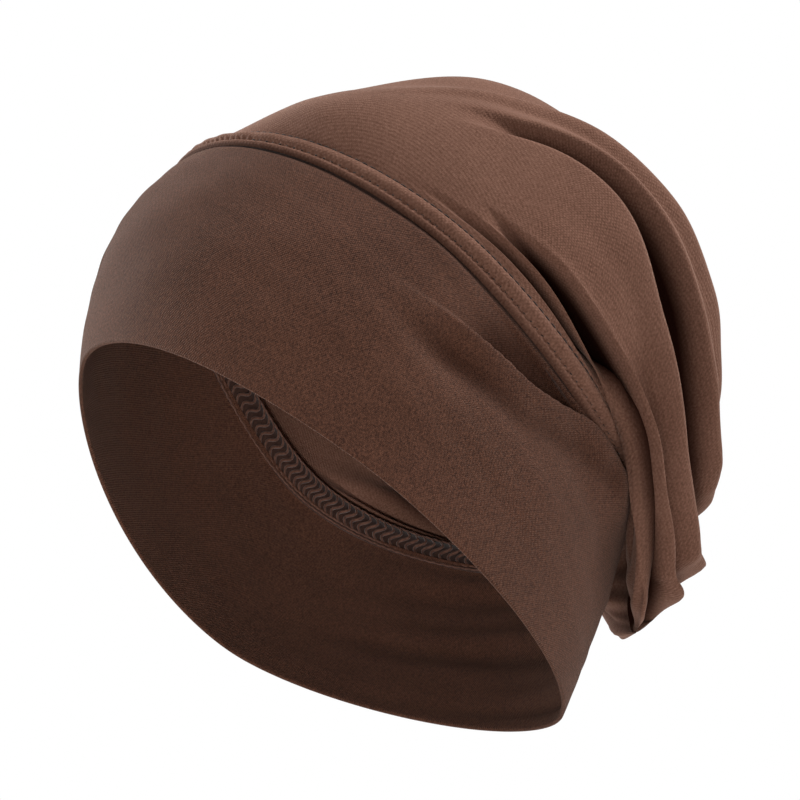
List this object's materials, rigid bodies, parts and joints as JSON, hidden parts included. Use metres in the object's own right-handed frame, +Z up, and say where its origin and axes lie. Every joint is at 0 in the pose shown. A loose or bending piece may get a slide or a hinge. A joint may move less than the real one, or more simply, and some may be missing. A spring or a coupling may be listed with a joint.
{
  "type": "chemo cap",
  "caption": "Slouchy stretch-jersey head cap with a wide smooth folded band and a loose crown gathered in long deep folds down the back.",
  "frame": {"origin": "centre of the head opening, where the cap sits on a head", "axes": "+Z up as worn, front at -Y, wearer's left at +X; the plane of the rim is raised 32.4 degrees at the front"},
  "size_m": [0.1931, 0.2208, 0.2143],
  "materials": {
    "band_jersey": "matt brown stretch jersey",
    "crown_jersey": "matt brown stretch jersey with a faint diagonal knit",
    "overlock": "overlocked seam edge, dark brown thread"
  },
  "bodies": {
    "root": {"band": "band_jersey", "crown": "crown_jersey", "seam_allowance": "overlock"}
  },
  "joints": []
}
